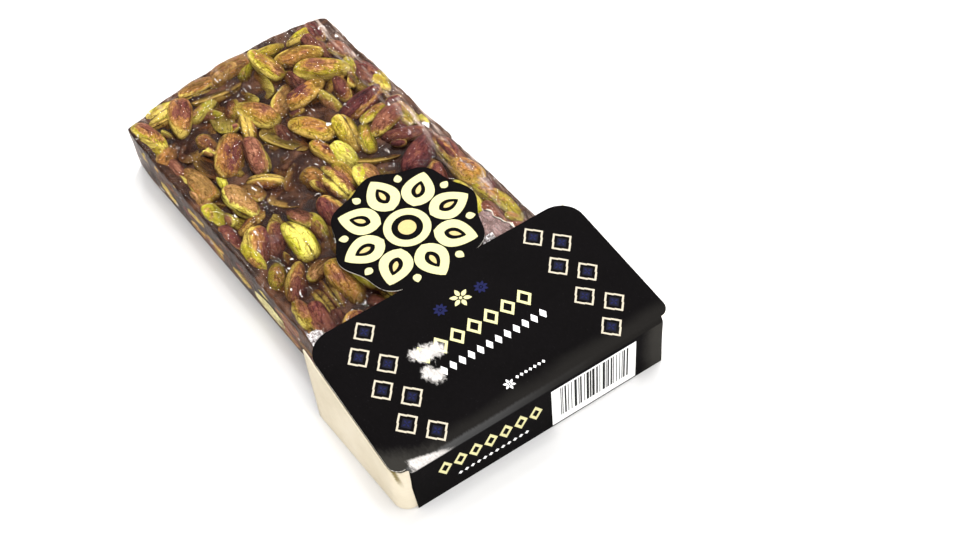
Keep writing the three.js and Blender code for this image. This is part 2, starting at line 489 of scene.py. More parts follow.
def kernel_places():
    """Whole kernels, broken bits, and those low in the bar."""
    draw = Draws(KERNEL_SEED)
    bed = Bed()
    whole = laid_on_face(draw, CROWN, bed) + laid_on_face(draw, SUNK, bed)
    for side in WALLS:
        whole += laid_in_rows(draw, side)
    whole += laid_on_crest(draw, bed) + laid_on_face(draw, FILL, bed)
    bits = laid_on_face(draw, BITS, bed)
    deep = laid_on_face(draw, DEEP, Bed())
    under = laid_on_face(draw, UNDER, Bed())
    for spot in under:
        spot.z = UNDER_SHARE * spot.depth
    wall = [spot for side in WALLS for spot in laid_in_rows(draw, side, WALL_ROWS, WALL_BURY)]
    low = deep + under + [spot for spot in wall if not in_bare_stretch(spot)]
    for spot in low + bits:
        spot.coarse = True
    return whole, bits, low


# ---- Kernel shapes ----

# Rings along a kernel and points round each, for those in sight and for bits and those deeper in the bar.
FINE = (24, 30)
COARSE = (14, 16)
CREASES = 4
SEAM_WIDTH = 0.17
PARTED_SHARE = 0.22
SPLIT_LEVEL = 0.04
SPLIT_DISH = 0.06
BREAK_DISH = 0.02
DEEP_CREASE = 0.1
UNDER_FILM = 0.2


def turned(points, axis, angle):
    """points turned about one axis through the origin."""
    return points @ np.array(Matrix.Rotation(angle, 3, axis)).T


def away_from(angle, middle):
    """Angles as signed distances from a middle one, the short way round."""
    return np.angle(np.exp(1j * (angle - middle)))


def kernel_shell(draw, rings, around):
    """One kernel of unit size, x across, y along, z through, with its seam all round at z = 0."""
    ring = np.linspace(0, math.pi, rings + 1)[1:-1]
    angle = np.linspace(0, FULL_TURN, around, endpoint=False)
    ring, angle = np.meshgrid(ring, angle, indexing="ij")
    tip = draw(-0.32, 0.32)
    blunt = draw(0.62, 0.95)
    radius = 0.5 * np.sin(ring) ** blunt * (1 + tip * np.cos(ring))
    keels = draw(0.02, 0.08) * np.cos(3 * angle + draw(*ANY_ANGLE) + draw(-0.5, 0.5) * ring)
    keels += draw(0.01, 0.04) * np.cos(5 * angle + draw(*ANY_ANGLE) + draw(-1.2, 1.2) * ring)
    dents = draw(0.01, 0.05) * np.sin(draw(2, 5) * ring + 2 * angle + draw(*ANY_ANGLE))
    radius = radius * (1 + keels + dents)
    hollow = np.zeros_like(radius)
    for _ in range(CREASES):
        middle = draw(*ANY_ANGLE) + draw(-0.5, 0.5) * (ring - math.pi / 2) + 0.12 * np.sin(ring * draw(3, 7))
        deep, width = draw(0.02, 0.11), draw(0.14, 0.24)
        hollow += deep * np.exp(-((away_from(angle, middle) / width) ** 2)) * np.sin(ring)
    radius = radius * (1 - hollow)
    for side, parting in ((0, draw(0.06, 0.34)), (math.pi, draw(0.02, 0.12))):
        near = np.exp(-((away_from(angle, side) / SEAM_WIDTH) ** 2))
        radius = radius * (1 - parting * near * np.sin(ring) ** 0.5)
    x = radius * np.cos(angle)
    z = radius * np.sin(angle)
    y = -0.5 * np.cos(ring)
    z = z + draw(-0.3, 0.3) * (y**2 - 0.1)
    x = x + draw(-0.12, 0.12) * (y**2 - 0.1)
    body = np.stack([x, y, z], -1).reshape(-1, 3)
    tips = np.array([[0, -0.5, body[:around, 2].mean()], [0, 0.5, body[-around:, 2].mean()]])
    return np.concatenate([body, tips]), np.append(hollow.ravel(), [0, 0]) / DEEP_CREASE


def shell_faces(rings, around):
    count = (rings - 1) * around
    faces = grid_faces(rings - 1, around, closed_columns=True)
    last = (rings - 2) * around
    for step in range(around):
        after = (step + 1) % around
        faces.append((count, after, step))
        faces.append((count + 1, last + step, last + after))
    return np.array([face if len(face) == 4 else (*face, -1) for face in faces])


def sliced(shell, normal, depth, hollow):
    """A shell with all beyond a plane pressed down to it, and which of its points were pressed."""
    normal = np.array(normal) / np.linalg.norm(normal)
    beyond = shell @ normal - depth
    cut = beyond > 0
    dish = hollow * np.clip(1 - (np.linalg.norm(shell, axis=1) / 0.5) ** 2, 0, 1)
    pressed = shell - np.outer(np.where(cut, beyond + dish, 0), normal)
    return pressed, cut


SMEAR_END_Y, SMEAR_FADE_Y = 88, 18
SMEAR_END_X, SMEAR_FADE_X = 4, 14
SMEAR_FROM_Z = 9
LEFT_ROOM = 0.05
UNDARKENED_DEPTH = 1.4
DARKENING_DEPTH = 2.6


def smeared(x, y):
    """How far caramel has run over the kernels: most by the left of the tray's mouth."""
    along = np.clip((SMEAR_END_Y - y) / SMEAR_FADE_Y, 0, 1)
    return along * np.clip((SMEAR_END_X - x) / SMEAR_FADE_X, 0, 1)


def depth_in_bar(points):
    """0 near the bar's own faces, growing to 1 deeper in: kernels darken with it, partly as caramel, partly
    as painted shade.
    """
    x, y, z = points.T
    inwards = np.minimum(BAR_HALF - np.abs(x), end_reach(x) - y) + BAR_OVERHANG
    under = np.minimum(BAR_HEIGHT - z, inwards)
    return np.clip((under - UNDARKENED_DEPTH + smeared(x, y) * (z > SMEAR_FROM_Z)) / DARKENING_DEPTH, 0, 1)


def kept_in_bar(points, under_film=UNDER_FILM):
    """points pressed back to just under the film's outermost places, or onto them where under_film is 0."""
    room = BAR_OVERHANG - under_film
    leaning = points[:, 1] * math.sin(BAR_YAW)
    far_left = (bar_low.x - BAR_PLACE.translation.x + leaning) / math.cos(BAR_YAW) + under_film + LEFT_ROOM
    x = np.clip(points[:, 0], np.maximum(-BAR_HALF - room, far_left), BAR_HALF + room)
    y = np.minimum(points[:, 1], end_reach(x) + room)
    z = np.clip(points[:, 2], FLOOR_ROOM + under_film / 2, BAR_HEIGHT - under_film)
    return np.stack([x, y, z], 1)


class KernelKind:
    """All kernels of one kind, joined into one piece."""

    def __init__(self, name, finish):
        self.name = name
        self.finish = finish
        self.points, self.faces, self.count = [], [], 0
        self.marks = defaultdict(list)

    def add(self, spot, draw, skin, split=False, broken=False, roll=None, tone=None):
        fineness = COARSE if spot.coarse else FINE
        shell, hollow = kernel_shell(draw, *fineness)
        seam = np.abs(shell[:, 2]) / 0.5
        face = np.zeros(len(shell), bool)
        if split:
            shell, face = sliced(shell, (0, 0, 1), SPLIT_LEVEL, SPLIT_DISH)
        if broken:
            slant = (draw(-0.7, 0.7), 1, draw(-0.5, 0.7))
            shell, snapped = sliced(shell, slant, draw(0.02, 0.22), BREAK_DISH)
            face |= snapped
        middle = 1 - np.hypot(shell[:, 0], 0.8 * shell[:, 1]) / 0.42
        seam = np.where(face, np.clip(1.5 * middle, 0, 1), seam)
        size = np.array([spot.width, spot.length, spot.depth])
        grain = shell * size + [draw(0, 400) for _ in range(3)]
        if roll is None:
            swing = draw(-1, 1)
            parted = draw(0, 1) < PARTED_SHARE
            roll = (0.5 if split else 0.8) * swing - (math.pi / 2 if parted and not split else 0)
        points = turned(shell, "Y", roll) * size
        points = turned(turned(points, "X", spot.pitch), "Z", -spot.heading)
        points = points + [spot.x, spot.y, spot.z]
        points = kept_in_bar(points)
        faces = shell_faces(*fineness)
        self.points.append(points)
        self.faces.append(np.where(faces >= 0, faces + self.count, -1))
        self.count += len(points)
        tone = draw(0, 1) if tone is None else tone
        marks = {"grain": grain, "seam": seam, "face": face.astype(float), "hollow": hollow * ~face}
        marks |= {"skin": np.full(len(points), skin), "tone": np.full(len(points), tone)}
        marks["deep"] = depth_in_bar(points)
        for label, values in marks.items():
            self.marks[label].append(values)

    def arrays(self):
        faces = np.concatenate(self.faces)
        return np.concatenate(self.points), [tuple(f[f >= 0]) for f in faces]

    def piece(self):
        points, faces = self.arrays()
        marks = {name: np.concatenate(values) for name, values in self.marks.items()}
        return sheet_piece(self.name, points, faces, BAR_PLACE, self.finish, marks)


# ---- Finishes of the bar ----

SKIN_DARK = (0.035, 0.006, 0.010)
SKIN_RED = (0.13, 0.031, 0.028)
SKIN_BROWN = (0.24, 0.087, 0.048)
SKIN_PINK = (0.5, 0.235, 0.14)
AMBER = (0.44, 0.19, 0.035)
RUST = (0.27, 0.11, 0.04)
PEACH = (0.7, 0.37, 0.17)
KHAKI = (0.21, 0.11, 0.028)
DUN = (0.34, 0.19, 0.055)
FLESH_BROWN = (0.17, 0.075, 0.018)
FLESH_TAN = (0.36, 0.2, 0.03)
FLESH_OLIVE = (0.35, 0.25, 0.02)
FLESH_LIME = (0.5, 0.48, 0.02)
FLESH_PALE = (0.86, 0.78, 0.15)
FLESH_STRAW = (0.84, 0.54, 0.13)
FLESH_CREAM_AND_BACKLIGHT = (0.95, 0.88, 0.42)
SEAM_SHADE = (0.07, 0.03, 0.01)
CARAMEL_AND_SHADE_TINT = (0.1, 0.042, 0.025)
SHADE_AND_SPECKS = (0.3, 0.22, 0.16)

MAROON_STOPS = [(0.34, SKIN_DARK), (0.46, SKIN_RED), (0.58, SKIN_BROWN), (0.72, SKIN_PINK)]
TAN_STOPS = [(0.34, SKIN_BROWN), (0.46, KHAKI), (0.58, DUN), (0.7, PEACH)]
WHOLE_STOPS = [(0.1, FLESH_BROWN), (0.35, FLESH_TAN), (0.6, FLESH_OLIVE), (0.85, FLESH_PALE)]
GREEN_STOPS = [(0.05, FLESH_TAN), (0.35, FLESH_OLIVE), (0.65, FLESH_LIME), (0.9, FLESH_PALE)]
SPLIT_STOPS = [(0.1, FLESH_BROWN), (0.35, FLESH_OLIVE), (0.6, FLESH_LIME), (0.82, FLESH_PALE)]


def kernel_finish(name, flesh_stops, skin_stops):
    """Skin over the backs, amber where it thins out, pale flesh edges, and painted shade in the seam's
    groove.
    """
    finish = Finish(name)
    grain = finish.attribute("grain", "Vector")
    tone = finish.attribute("tone")
    face = finish.attribute("face")
    seam = finish.attribute("seam")
    blotch = finish.noise(grain, 0.2, 4, 0.6)
    streaks = finish.noise(grain, 1.0, 5, 0.65, 0.4, (1, 0.3, 1))
    mottle = finish.noise(grain, 0.9, 5, 0.7)
    depth = (blotch * 1.4 - 0.5 + tone * 0.6 + (streaks - 0.5) * 1.1).clamped()
    flesh = finish.ramp(depth, flesh_stops)
    edge = (seam + (mottle - 0.5) * 0.6).smooth(0.62, 0.4) * blotch.smooth(0.32, 0.46)
    # Pale spots where the noise peaks are painted highlights.
    painted_flesh_highlight = (mottle + streaks * 0.5).smooth(0.76, 0.94)
    pale = finish.blend(tone, FLESH_STRAW, FLESH_PALE)
    flesh = finish.blend(seam.smooth(0.5, 1.0) * face * (1.0 - tone * 0.9), flesh, KHAKI)
    flesh = finish.blend(finish.highest(edge * 0.9, painted_flesh_highlight * 0.6), flesh, pale)
    # A tone above 1 paints the flesh cream, partly its colour and partly painted light from the white floor.
    flesh = finish.blend(tone.smooth(1.05, 1.25), flesh, FLESH_CREAM_AND_BACKLIGHT)
    # The seam groove is darkened with painted shade.
    groove = (seam + (blotch - 0.45) * 0.35).smooth(0.14, 0.02) * (1 - face)
    flesh = finish.blend(groove * 0.85, flesh, SEAM_SHADE)
    spread = finish.maths("POWER", seam, 0.75) + (blotch - 0.5) * 1.0 + (streaks - 0.5) * 0.9
    spread = spread + finish.attribute("skin") - 1.12 - face
    rim = finish.blend(mottle.smooth(0.48, 0.66), finish.blend(tone, AMBER, RUST), PEACH)
    flesh = finish.blend(spread.smooth(-0.16, 0.04) * 0.92, flesh, rim)
    shade = streaks * 0.5 + blotch * 0.3 + mottle * 0.2 + (tone - 0.5) * 0.2
    husk = finish.ramp(shade.clamped(), skin_stops)
    colour = finish.blend(spread.smooth(0.04, 0.24), flesh, husk)
    # Creases and wrinkle lines are darkened with painted shade, along with the skin's own dark specks.
    specks = finish.noise(grain, 2.4, 3, 0.7).smooth(0.48, 0.64) * 0.7
    wrinkled = finish.noise(grain, 0.6, 2, 0.5, 0.7, (1, 0.2, 1))
    lines = finish.maths("ABSOLUTE", wrinkled - 0.5).smooth(0.03, 0.004)
    folds = (finish.attribute("hollow") + (streaks - 0.5) * 0.8).smooth(0.25, 0.9) * 0.75
    shade_and_specks = finish.highest(folds, specks, lines * 0.8)
    colour = finish.blend(shade_and_specks, colour, SHADE_AND_SPECKS, "MULTIPLY")
    # Parts deep below the bar's faces are darkened, partly as caramel and partly as painted shade.
    colour = finish.blend(finish.attribute("deep"), colour, CARAMEL_AND_SHADE_TINT, "MULTIPLY")
    relief = (streaks * 0.65 + mottle * 0.35 - lines * 0.3, 1.0, 0.0009)
    return finish.surface(colour, 0.36 + streaks * 0.2, relief, Specular_IOR_Level=0.1)


def caramel_finish():
    finish = Finish("dark_amber_nougat")
    place = finish.place()
    swirl = finish.noise(place, 110, 4, 0.6, 0.6)
    grit = finish.noise(place, 420, 4, 0.6)
    dark, middle, pale = (0.006, 0.002, 0.0015), (0.025, 0.009, 0.0045), (0.12, 0.05, 0.024)
    colour = finish.ramp(swirl * 0.7 + grit * 0.3, [(0.36, dark), (0.5, middle), (0.68, pale)])
    relief = (swirl * 0.6 + grit * 0.4, 0.6, 0.0009)
    return finish.surface(colour, 0.25 + grit * 0.2, relief, Specular_IOR_Level=0.05)


def film_finish():
    """Clear film with a thin gloss, a milky layer of painted glare along its edges and painted white glints
    in patches.
    """
    finish = Finish("clear_film")
    place = finish.place()
    wrinkle = finish.noise(place, 420, 1, 0.5, 0.8, (0.5, 1, 1))
    ripple = finish.noise(place, 150, 1, 0.5, 0.6, (1, 0.45, 1))
    normal = finish.bump(wrinkle * 0.4 + ripple * 1.2, 0.9, 0.001)
    clear = finish.node("ShaderNodeBsdfTransparent", None, {"Color": (0.99, 0.98, 0.97, 1)})
    shine = finish.node("ShaderNodeBsdfGlossy", None, {"Roughness": 0.035, "Normal": normal})
    share = finish.node("ShaderNodeFresnel", None, {"IOR": 1.27, "Normal": normal})
    glossy = finish.mixed(finish.maths("MINIMUM", share * 0.3, 0.042), clear, shine)
    # The milky layer's streaked colour is painted glare.
    streak = finish.noise(place, 650, 3, 0.6, stretch=(1, 0.1, 1))
    tint = finish.ramp(streak, [(0.42, (0.36, 0.22, 0.17)), (0.66, (0.82, 0.64, 0.54))])
    glare_mask = finish.attribute("painted_glare")
    patch = finish.noise(place, 130, 2, 0.6)
    # White specks in patches are painted glints.
    speck = finish.noise(place, 850, 1, 0.5, 0.8, (1, 0.35, 1))
    painted_glints = speck.smooth(0.65, 0.72) * (patch + glare_mask * 0.1).smooth(0.55, 0.62)
    tint = finish.blend(painted_glints, tint, (0.95, 0.93, 0.9))
    milky = finish.principled(Base_Color=tint, Roughness=0.3, Specular_IOR_Level=0.2, Normal=normal)
    glare_share = finish.highest(glare_mask * (streak.smooth(0.44, 0.7) * 0.5 + 0.06), painted_glints * 0.8)
    return finish.shown(finish.mixed(glare_share.clamped(), glossy, milky))


# ---- Nougat core ----

CORE = dict(spread=0.3, near=0.8, bottom=0.25, top=CORE_HEIGHT, corner=1.6, rounding=0.9, step=1.2)
CORE_RIM = 2.1
CORE_SWELL = 0.8
CORE_RIM_WIDTH = 7
END_BEND_STEPS = 6
WAVES = 5
HIGHEST_WAVE = 3.2


def wavy(x, y, scale, seed):
    """Smooth uneven numbers from about -1 to 1 over a face."""
    waves = 0
    draw = Draws(seed)
    for _ in range(WAVES):
        turn = draw(0, FULL_TURN / 2)
        length = scale * draw(0.6, 1.6)
        across = x * math.cos(turn) + y * math.sin(turn)
        waves = waves + np.sin(FULL_TURN * across / length + draw(*ANY_ANGLE))
    return waves / HIGHEST_WAVE


def section(width, height, rounding, step):
    """A rounded rectangle about the origin, each point with its normal: x, z, normal x, normal z."""
    bends = np.radians(np.linspace(0, 90, max(3, int(rounding * 1.6 / step) + 2)))[:-1]
    way = np.array([1, 0])
    start = np.array([-width / 2, -height / 2])
    outline = []
    for length in (width, height, width, height):
        out = np.array([way[1], -way[0]])
        runs = np.linspace(0, length, max(2, int(length / step)))[:-1]
        outline += [(*(start + way * run + out * rounding), *out) for run in runs]
        start = start + way * length
        for bend in bends:
            normal = out * math.cos(bend) + way * math.sin(bend)
            outline.append((*(start + normal * rounding), *normal))
        way = -out
    return np.array(outline).T


def slab(spread, near, bottom, top, corner, rounding, step):
    """A closed slab that reaches past the bar's sides and far end by spread, as rings of points."""
    half, reach = BAR_HALF + spread, BAR_LENGTH + spread
    x, z, nx, nz = section(2 * (half - rounding), top - bottom - 2 * rounding, rounding, step)
    caps = np.linspace(1, 0, max(4, int(half / step)))[1:]
    bends = np.radians(np.linspace(0, 90, END_BEND_STEPS))
    insets, turns = corner * (1 - np.cos(bends)), np.sin(bends)
    runs = corner * (1 - turns)
    rings = [(near, corner, -1, shrink) for shrink in caps[::-1]]
    rings += [(near + run, inset, -lean, 1) for run, inset, lean in zip(runs, insets, turns)][::-1]
    rings += [(y, 0, 0, 1) for y in np.arange(near + corner + step, reach - corner, step)]
    rings += [(reach - run, inset, lean, 1) for run, inset, lean in zip(runs, insets, turns)]
    rings += [(reach, corner, 1, shrink) for shrink in caps]
    points, normals = [], []
    for y, inset, lean, shrink in rings:
        side = (x - np.sign(x) * np.minimum(np.abs(x), inset)) * shrink
        lift = (z - np.sign(z) * np.minimum(np.abs(z), inset * 0.6)) * shrink
        bow = BAR_END_BOW * (1 - (side / half) ** 2) * np.clip((y - near) / (reach - near), 0, 1) ** 6
        points.append(np.stack([side, y + bow, lift + (bottom + top) / 2], 1))
        level = math.sqrt(max(0, 1 - lean * lean))
        normals.append(np.stack([nx * level, np.full_like(nx, lean), nz * level], 1))
    return np.array(points), np.array(normals)


def ring_faces(rows, columns):
    """Quads between rings, with the first and last ring shut by a fan's n-gon."""
    faces = [face[::-1] for face in grid_faces(rows, columns, closed_columns=True)]
    faces.append(tuple(range(columns)))
    faces.append(tuple(range((rows - 1) * columns, rows * columns))[::-1])
    return faces


def nougat_core():
    points, normals = slab(**CORE)
    x, y, z = np.moveaxis(points, -1, 0)
    rim = np.clip(1 - np.minimum(BAR_HALF - np.abs(x), end_reach(x) - y) / CORE_RIM_WIDTH, 0, 1)
    rough = 0.8 * wavy(x, y + 2 * z, 13, 7) + 0.4 * wavy(x + z, y, 5, 8) - 0.3
    rough = rough * (1 - 0.6 * rim) * np.where(z < 1.5, 0.0, 1.0)
    points = points + normals * rough[..., None]
    raised = np.maximum(CORE_RIM * rim, CORE_SWELL * smeared(x, y))
    points[..., 2] += raised * np.clip(z / CORE_HEIGHT, 0, 1) ** 2
    rows, columns = points.shape[:2]
    return kept_in_bar(points.reshape(-1, 3)), ring_faces(rows, columns)


# ---- Clear film, drawn over everything the bar holds ----

FILM_STEP = 0.8
FILM_SLAB = dict(spread=1.6, near=-1.2, bottom=FLOOR_ROOM, top=BAR_HEIGHT + 0.5, corner=3.2, rounding=2.2)
FILM_DROP = -2.2
FILM_RISE = 0.6
RAY_ABOVE = 2.0
RAY_BELOW = 6.0
FILM_SLACK = 0.14
FILM_STIFFNESS = 0.15
FILM_REACH = 12


def bridged(height, step, stiffness):
    """height with its narrow hollows spanned by curves no tighter than the film bends."""
    def swept(values, axis, sign):
        best = values.copy()
        for shift in range(1, FILM_REACH + 1):
            fall = stiffness * (shift * step) ** 2
            for way in (-shift, shift):
                moved = np.roll(values, way, axis)
                if axis == 0 and way > 0:
                    moved[:way] = values[:1]
                elif axis == 0:
                    moved[way:] = values[-1:]
                best = np.maximum(best, moved - fall) if sign > 0 else np.minimum(best, moved + fall)
        return best

    raised = swept(swept(height, 0, 1), 1, 1)
    return swept(swept(raised, 0, -1), 1, -1)


def softened(values, passes):
    for _ in range(passes):
        values = 0.5 * values + 0.25 * (np.roll(values, 1, 1) + np.roll(values, -1, 1))
        inner = 0.5 * values[1:-1] + 0.25 * (values[2:] + values[:-2])
        values = np.concatenate([values[:1], inner, values[-1:]])
    return values


def painted_glare(points):
    """How much painted glare lies milky on the film: most along the right edge, less round the far end."""
    x, y, _ = points.T
    right = np.clip((x - BAR_HALF + 9) / 8, 0, 1)
    far = 0.5 * np.clip((y - end_reach(x) + 6) / 6, 0, 1)
    left = 0.1 * np.clip((-x - BAR_HALF + 3) / 3, 0, 1)
    return np.maximum(np.maximum(right, far), left)


def clear_film(contents, finish):
    """The film as a closed skin: a slab's rings pulled in until they lie on the contents."""
    points, normals = slab(**FILM_SLAB, step=FILM_STEP)
    tree = BVHTree.FromPolygons(*contents)
    rows, columns = points.shape[:2]
    height = np.full((rows, columns), FILM_DROP)
    for place in np.ndindex(rows, columns):
        normal = Vector(normals[place])
        *_, away = tree.ray_cast(Vector(points[place]) + normal * RAY_ABOVE, -normal, RAY_ABOVE + RAY_BELOW)
        if away is not None:
            height[place] = RAY_ABOVE - away
    height = softened(bridged(height, FILM_STEP, FILM_STIFFNESS), 2)
    height = np.minimum(height + FILM_SLACK, FILM_RISE)
    points = kept_in_bar((points + normals * height[..., None]).reshape(-1, 3), 0.0)
    marks = {"painted_glare": painted_glare(points)}
    return sheet_piece("clear_film", points, ring_faces(rows, columns), BAR_PLACE, finish, marks)


# ---- Loose film: where it is doubled over by the mouth of the tray ----

FOLD_GRID = 26
FOLD_THICK = 0.05
FOLD_STEP = 0.5
FOLD_STIFFNESS = 0.1
RAGGED_FROM = 0.9

# Name: corners on the card's axes, lift off the film, height of the wrinkles, seed.
MAUVE_FOLDS = {
    "doubled_film_flap": (((13, 46.5), (27, 46), (22.8, 60), (14, 61)), 0.2, 0.5, 5),
}
# Crinkled patches of film, painted white as highlights.
GLINT_FOLDS = {
    "crinkle_by_rosette": (((14.5, 49), (19.5, 49), (19.0, 51.6), (16.5, 52.2)), 0.4, 0.7, 6),
    "crinkle_by_left_edge": (((-40.2, 48), (-35.5, 48.6), (-36.5, 51.5), (-40.0, 53.5)), 0.3, 0.8, 7),
}


def hazy_film_finish(name, colour, share, speckled=0.0):
    """Doubled film, which scatters some light, with painted highlights on its edge and crests and painted
    shade beside the edge.
    """
    finish = Finish(name)
    place = finish.place()
    wrinkle = finish.noise(place, 420, 4, 0.6, 1.5, (1, 0.5, 1))
    normal = finish.bump(wrinkle, 0.8, 0.0009)
    clear = finish.node("ShaderNodeBsdfTransparent", None, {"Color": (0.97, 0.95, 0.94, 1)})
    across = finish.attribute("across")
    beaded = finish.noise(place, 700, 2, 0.5)
    # Dark chinks beside the free edge are painted shade, and the white lip is a painted highlight.
    painted_chink_shade = across.smooth(0.88, 0.92) * beaded.smooth(0.48, 0.54)
    painted_lip_highlight = (across + (beaded - 0.5) * 0.05).smooth(0.955, 0.98)
    # Wrinkle crests are painted lighter, as highlights.
    tint = finish.blend(wrinkle.smooth(0.5, 0.8), colour, tuple(1.5 * part for part in colour))
    specks = finish.noise(place, 1700, 1, 0.5).smooth(0.47, 0.55) * speckled
    tint = finish.blend(specks, tint, (0.14, 0.09, 0.09))
    tint = finish.blend(painted_chink_shade, tint, (0.01, 0.006, 0.006))
    tint = finish.blend(painted_lip_highlight, tint, (0.8, 0.74, 0.62))
    milky = finish.principled(Base_Color=tint, Roughness=0.25, Specular_IOR_Level=0.3, Normal=normal)
    veil = wrinkle.smooth(0.25, 0.75) * share + share * 0.5
    veil = finish.highest(veil, finish.highest(painted_chink_shade, painted_lip_highlight) * 0.9)
    return finish.shown(finish.mixed(veil.clamped(), clear, milky))


def film_fold(name, tree, finish, corners, rise, wrinkle, seed):
    """A doubled patch of film between four corners on the card's axes, lying on the film below it."""
    near_left, near_right, far_right, far_left = (np.array(corner, float) for corner in corners)
    across, along = np.meshgrid(np.linspace(0, 1, FOLD_GRID), np.linspace(0, 1, FOLD_GRID))
    a, b = across[..., None], along[..., None]
    flat = (1 - b) * ((1 - a) * near_left + a * near_right) + b * ((1 - a) * far_left + a * far_right)
    x, y = flat[..., 0], flat[..., 1]
    x = x + 0.5 * wavy(x * 1.3, y, 5, seed + 3) * (across > RAGGED_FROM)
    height = np.zeros_like(x)
    for place in np.ndindex(x.shape):
        above = (CARD_PLACE @ Vector((x[place], y[place], PACK_HEIGHT + 2))) * MM
        met, *_ = tree.ray_cast(above, Vector((0, 0, -1)))
        height[place] = met.z / MM if met else 0
    height = softened(bridged(height, FOLD_STEP, FOLD_STIFFNESS), 2) + rise
    folds = wavy(x + 0.6 * y, 1.4 * x, 4.2, seed) + 0.6 * wavy(x, y, 1.8, seed + 1)
    height = height + wrinkle * (0.5 + 0.5 * folds)
    upper = np.stack([x, y, height], -1).reshape(-1, 3)
    under = upper - (0, 0, FOLD_THICK)
    count = len(upper)
    faces = grid_faces(FOLD_GRID, FOLD_GRID)
    faces += [tuple(i + count for i in face[::-1]) for face in faces]
    last = FOLD_GRID - 1
    rim = [i for i in range(last)] + [last + FOLD_GRID * i for i in range(last)]
    rim += [count - 1 - i for i in range(last)] + [FOLD_GRID * (last - i) for i in range(last)]
    for here, after in zip(rim, rim[1:] + rim[:1]):
        faces.append((after, here, here + count, after + count))
    marks = {"across": np.tile(across.ravel(), 2)}
    return sheet_piece(name, np.concatenate([upper, under]), faces, CARD_PLACE, finish, marks)


def build_folds(film):
    skin = film.data
    tree = BVHTree.FromPolygons([v.co for v in skin.vertices], [p.vertices for p in skin.polygons])
    mauve = hazy_film_finish("doubled_film", (0.27, 0.17, 0.155), 0.65)
    # The crinkled film's near-white colour is a painted highlight.
    white = hazy_film_finish("crinkled_film_painted_white", (0.8, 0.77, 0.76), 0.75, 0.8)
    for finish, folds in ((mauve, MAUVE_FOLDS), (white, GLINT_FOLDS)):
        for name, layout in folds.items():
            mounted(film_fold(name, tree, finish, *layout), "film_wrapped_nougat")


# ---- The bar, put together ----

RED_SHARE = 0.27
MORE_RED = 0.5
GREEN_SHARE = 0.28
TAN_SHARE = 0.36
RIGHT_EDGE_X = 24
BROWNED_X = 3.5 - BAR_HALF
BROWNED_Y = 66
BROWNED_SKIN = 0.5
RIGHT_SKIN = 0.25

# Where each spread of maroon skins ends, and over how many millimetres it fades.
RED_RIGHT_X, RED_RIGHT_FADE = 16, 12
RED_MOUTH_X, RED_MOUTH_FADE_X = 8, 10
RED_MOUTH_Y, RED_MOUTH_FADE_Y = 80, 15


def red_share(spot):
    """The share of kernels that keep their maroon skins, larger by the right edge and the tray's mouth."""
    right = (spot.x - RED_RIGHT_X) / RED_RIGHT_FADE
    mouth = min((RED_MOUTH_Y - spot.y) / RED_MOUTH_FADE_Y, (RED_MOUTH_X - spot.x) / RED_MOUTH_FADE_X)
    return RED_SHARE + MORE_RED * min(1, max(0, right, mouth))


def build_bar():
    maroon = KernelKind("maroon_kernels", kernel_finish("maroon_skin", WHOLE_STOPS, MAROON_STOPS))
    tan = KernelKind("tan_kernels", kernel_finish("tan_skin", WHOLE_STOPS, TAN_STOPS))
    green = KernelKind("green_kernels", kernel_finish("green_flesh", GREEN_STOPS, MAROON_STOPS))
    split = KernelKind("split_kernels", kernel_finish("split_face", SPLIT_STOPS, MAROON_STOPS))
    draw = Draws(LOOKS_SEED)
    whole, bits, low = kernel_places()
    for spot in whole + low:
        lot = draw(0, 1)
        browned = spot.heading == 0 and spot.x < BROWNED_X and spot.y < BROWNED_Y
        more_skin = BROWNED_SKIN * browned
        if lot < red_share(spot):
            maroon.add(spot, draw, draw(0.2, 0.8) + RIGHT_SKIN * (spot.x > RIGHT_EDGE_X) + more_skin)
        elif lot > 1 - GREEN_SHARE:
            green.add(spot, draw, draw(-0.1, 0.4) + more_skin)
        elif draw(0, 1) < TAN_SHARE or browned:
            tan.add(spot, draw, draw(0.1, 0.6) + more_skin)
        else:
            split.add(spot, draw, draw(0.1, 0.7), split=True)
    # The split kernel by the mouth is painted cream, partly as light from the white floor.
    split.add(SPLIT_BY_MOUTH, draw, 0.1, split=True, roll=-math.pi / 2, tone=1.25)
    tan.add(BROWN_BY_MOUTH, draw, 0.95)
    for spot in bits:
        kind = draw.pick((maroon, tan, green, split, split))
        kind.add(spot, draw, draw(0, 0.8), broken=True)
    points, faces = nougat_core()
    core = sheet_piece("nougat_core", points, faces, BAR_PLACE, caramel_finish())
    kinds = (maroon, tan, green, split)
    for kind in kinds:
        more_points, more_faces = kind.arrays()
        faces += [tuple(int(i) + len(points) for i in face) for face in more_faces]
        points = np.concatenate([points, more_points])
    film = clear_film((points.tolist(), faces), film_finish())
    for piece in (core, *(kind.piece() for kind in kinds)):
        mounted(piece, "film_wrapped_nougat")
    mounted(film, "film_wrapped_nougat", "film_wrapped_nougat")
    build_folds(film)


# ---- Header card: a flat pattern, folded ----

# In the flat pattern x runs across and y along, with y = 0 where the top panel starts to bend down.
PATTERN_BACK = CARD_LENGTH - BEND
FOLD_LENGTH = BEND * math.pi / 2
PATTERN_FRONT = -(FOLD_LENGTH + CARD_TOP - BEND)
CARD_SAG = 0.35
CARD_WAVE = 0.1
SIDE_ROOM = 0.05
CARD_STEP = 3.0
CUT_BEVEL = 0.04


def dip(x, y):
    """How far the top panel sags below its fold, at a place on it."""
    along = np.clip(y / (ROSETTE_Y + ROSETTE_RADIUS), 0, 1)
    waves = CARD_WAVE * (1 + np.sin(x / 17 + 0.7) * np.sin(y / 21))
    return CARD_SAG * along**2 + waves * np.clip(y / 12, 0, 1)


